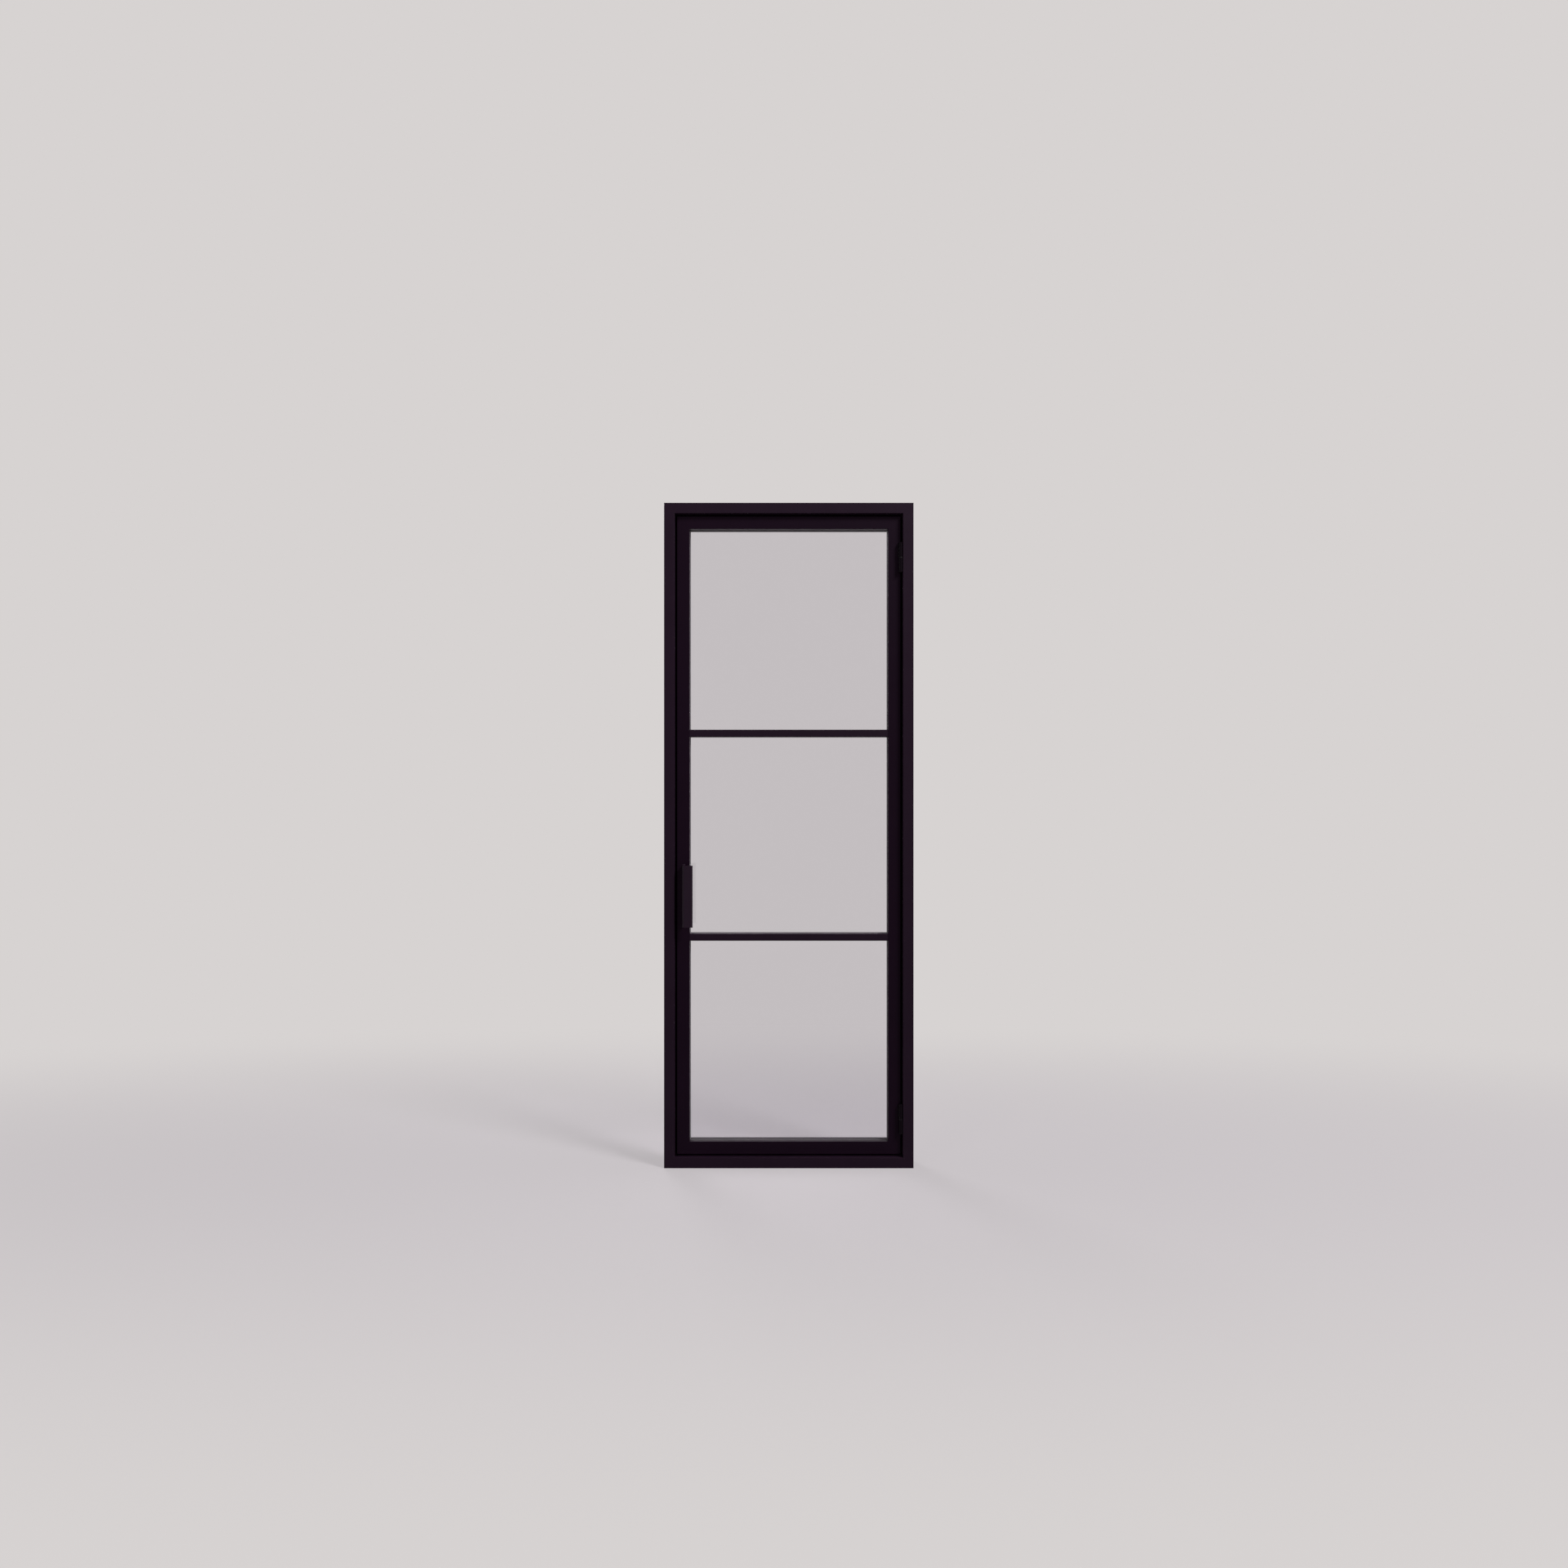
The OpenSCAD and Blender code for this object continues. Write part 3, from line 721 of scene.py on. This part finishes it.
class DOOR_OT_mitre_seams(bpy.types.Operator):
    """Lay the dressed weld seams along the mitres of the frame and the leaf"""
    bl_idname = "door.mitre_seams"
    bl_label = "Mitre seams"

    def execute(self, context):
        width = context.scene.door_details.seam_width
        height = 0.08 * MM
        inset = 1.5 * MM
        # A member's face runs to its inner edge, but on the leaf's back only to the glazing beads
        frame_face = size_of("frame_head")[2]
        leaf_face = size_of("leaf_top_rail")[2]
        leaf_back = low("bead_top_left")[0] - low("leaf_latch_stile")[0]
        rings = {
            "frame": (
                "frame_sill", "frame_head", "frame_jamb_latch", "frame_jamb_hinge",
                frame_face, frame_face,
            ),
            "leaf": (
                "leaf_bottom_rail", "leaf_top_rail", "leaf_latch_stile", "leaf_hinge_stile",
                leaf_face, leaf_back,
            ),
        }
        for ring, (bottom, top, left, right, face_front, face_back) in rings.items():
            x0, z0 = low(left)[0], low(bottom)[2]
            x1, z1 = high(right)[0], high(top)[2]
            for side, y, out, reach in (
                ("front", low(left)[1], -1, face_front), ("back", high(left)[1], 1, face_back),
            ):
                ridges = [
                    seam_ridge(
                        (x + way_x * inset, y, z + way_z * inset),
                        (x + way_x * (reach - inset), y, z + way_z * (reach - inset)),
                        (0, out, 0), width, height,
                    )
                    for x, way_x in ((x0, 1), (x1, -1)) for z, way_z in ((z0, 1), (z1, -1))
                ]
                build(f"{ring}_mitre_seams_{side}", ridges, finish_of(top), ring)
        return {"FINISHED"}


# Floor, light and camera

FLOOR_POINTS = 96
FADE_STRETCH = (0.3, 1.0, 1.0)
DOOR_MIDDLE = (0.0, 0.0, 1.2)

# Each lamp's name, place, size in metres and power in watts, and whether gloss shows it
LAMPS = (
    ("key", (5.2, -3.6, 7.4), 2.2, 950.0, True),
    ("fill", (-3.0, -4.0, 2.2), 2.6, 70.0, False),
    ("back", (-2.6, 4.2, 5.0), 2.6, 210.0, True),
)


class DOOR_OT_stage(bpy.types.Operator):
    """Lay the floor and set the lamps, the surroundings and the camera"""
    bl_idname = "door.stage"
    bl_label = "Floor, light and camera"

    def execute(self, context):
        scene = context.scene
        stage = scene.door_stage
        lay_floor(scene, stage)
        light_world(scene, stage)
        for lamp in LAMPS:
            hang_lamp(scene, *lamp)
        place_camera(scene, stage)
        scene.view_settings.view_transform = "Standard"
        return {"FINISHED"}


def lay_floor(scene, stage):
    """A plain floor: rings of points, each at its radius times the angle's cosine and sine."""
    angle = np.linspace(0, 2 * math.pi, FLOOR_POINTS, endpoint=False)
    radius = np.array([0.0, 1.0, 3.0, 10.0, stage.floor_radius])[:, None]
    points = np.stack([radius * np.cos(angle), radius * np.sin(angle), 0 * radius * angle], -1)
    mesh = bpy.data.meshes.new("floor")
    mesh.from_pydata(points.reshape(-1, 3), [], grid_faces(len(radius), FLOOR_POINTS, False, True))
    mesh.validate()
    mesh.materials.append(studio_floor(stage))
    floor = bpy.data.objects.new("floor", mesh)
    scene.collection.objects.link(floor)


def studio_floor(stage):
    """A matt floor that fades into the surroundings, more slowly along the door's width."""
    mat, tree = new_material("studio_floor")
    place = add(tree, "ShaderNodeTexCoord").outputs["Object"]
    away = add(tree, "ShaderNodeVectorMath", {0: place, 1: FADE_STRETCH}, operation="MULTIPLY")
    away = add(tree, "ShaderNodeVectorMath", {0: away.outputs["Vector"]}, operation="LENGTH")
    fade = add(
        tree, "ShaderNodeMapRange",
        {"Value": away.outputs["Value"], "From Min": stage.fade_start, "From Max": stage.fade_end},
        interpolation_type="SMOOTHSTEP",
    ).outputs["Result"]
    # It throws back less light than its colour would, so that the door's foot stays dark
    bounce = add(tree, "ShaderNodeLightPath").outputs["Is Diffuse Ray"]
    tone = add(
        tree, "ShaderNodeMix", {"Factor": bounce, 6: stage.floor, 7: stage.floor_bounce},
        data_type="RGBA",
    )
    lit = add(tree, "ShaderNodeBsdfPrincipled", {
        "Base Color": tone.outputs[2], "Roughness": 0.6, "Specular IOR Level": 0.2,
    })
    # At the door most of its tone is its own, so the door's shadow stays soft, and far off all of it
    shade = add(
        tree, "ShaderNodeMix", {"Factor": fade, 6: stage.floor, 7: stage.backdrop}, data_type="RGBA",
    )
    level = add(tree, "ShaderNodeMapRange", {"Value": bounce, "To Min": 1.0, "To Max": 0.2})
    glow = add(tree, "ShaderNodeEmission", {
        "Color": shade.outputs[2], "Strength": level.outputs["Result"],
    })
    own = add(tree, "ShaderNodeMapRange", {"Value": fade, "To Min": stage.floor_own, "To Max": 1.0})
    mix = add(tree, "ShaderNodeMixShader", {
        "Fac": own.outputs["Result"], 1: lit.outputs["BSDF"], 2: glow.outputs["Emission"],
    })
    add(tree, "ShaderNodeOutputMaterial", {"Surface": mix.outputs["Shader"]})
    return mat


def light_world(scene, stage):
    """Pale surroundings: full for the camera, for gloss and through glass, and softer as light."""
    world = bpy.data.worlds.new("studio")
    world.use_nodes = True
    tree = world.node_tree
    tree.nodes.clear()
    path = add(tree, "ShaderNodeLightPath").outputs
    seen = path["Is Camera Ray"]
    for ray in ("Is Transmission Ray", "Is Glossy Ray"):
        seen = add(tree, "ShaderNodeMath", {0: seen, 1: path[ray]}, operation="MAXIMUM").outputs[0]
    shown = add(tree, "ShaderNodeBackground", {"Color": stage.backdrop, "Strength": 1.0})
    white = (1.0, 1.0, 1.0, 1.0)
    lit = add(tree, "ShaderNodeBackground", {"Color": white, "Strength": stage.world_light})
    mix = add(tree, "ShaderNodeMixShader", {
        "Fac": seen, 1: lit.outputs["Background"], 2: shown.outputs["Background"],
    })
    add(tree, "ShaderNodeOutputWorld", {"Surface": mix.outputs["Shader"]})
    scene.world = world


def hang_lamp(scene, name, place, size, power, in_gloss):
    """A round, soft lamp that points at the middle of the door and that the camera doesn't see."""
    lamp = bpy.data.lights.new(name, "AREA")
    lamp.shape = "DISK"
    lamp.size = size
    lamp.energy = power
    hung = bpy.data.objects.new(name, lamp)
    hung.visible_camera = hung.visible_transmission = False
    hung.visible_glossy = in_gloss
    hung.location = place
    hung.rotation_euler = (Vector(DOOR_MIDDLE) - Vector(place)).to_track_quat("-Z", "Y").to_euler()
    scene.collection.objects.link(hung)


def place_camera(scene, stage):
    """A level camera that looks along +Y, as the photograph's does."""
    lens = bpy.data.cameras.new("camera")
    lens.sensor_fit = "HORIZONTAL"
    lens.sensor_width = 36.0
    lens.lens = stage.lens
    lens.clip_end = 200.0
    camera = bpy.data.objects.new("camera", lens)
    front = low("frame_head")[1]
    camera.location = (stage.camera_side, front - stage.camera_distance, stage.camera_height)
    camera.rotation_euler = (math.radians(90), 0, 0)
    scene.collection.objects.link(camera)
    scene.camera = camera


# Panel and registration


class DOOR_PT_panel(bpy.types.Panel):
    """The door's settings and steps"""
    bl_idname = "DOOR_PT_panel"
    bl_label = "Glazed Steel Door"
    bl_space_type = "VIEW_3D"
    bl_region_type = "UI"
    bl_category = "Door"

    def draw(self, context):
        for name in SETTINGS:
            group = getattr(context.scene, name)
            box = self.layout.box()
            for key in group.__annotations__:
                box.prop(group, key)
        for step in OPERATORS:
            self.layout.operator(step.bl_idname)


OPERATORS = (
    DOOR_OT_stage, DOOR_OT_steel, DOOR_OT_glass, DOOR_OT_rubber, DOOR_OT_washers,
    DOOR_OT_bead_screws, DOOR_OT_jamb_caps, DOOR_OT_welds, DOOR_OT_mitre_seams,
)
SETTINGS = {"door_finishes": DoorFinishes, "door_details": DoorDetails, "door_stage": DoorStage}


def register():
    """Make the settings, steps and panel known, and hang the settings on the scene."""
    for kind in (*SETTINGS.values(), *OPERATORS, DOOR_PT_panel):
        bpy.utils.register_class(kind)
    for name, kind in SETTINGS.items():
        setattr(bpy.types.Scene, name, PointerProperty(type=kind))


def unregister():
    """Take the settings off the scene, and the classes back out."""
    for name in SETTINGS:
        delattr(bpy.types.Scene, name)
    for kind in (DOOR_PT_panel, *reversed(OPERATORS), *SETTINGS.values()):
        bpy.utils.unregister_class(kind)


def main():
    """Register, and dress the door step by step."""
    register()
    bpy.ops.door.stage()
    bpy.ops.door.steel()
    bpy.ops.door.glass()
    bpy.ops.door.rubber()
    bpy.ops.door.washers()
    bpy.ops.door.bead_screws()
    bpy.ops.door.jamb_caps()
    bpy.ops.door.welds()
    bpy.ops.door.mitre_seams()


if __name__ == "__main__":
    main()
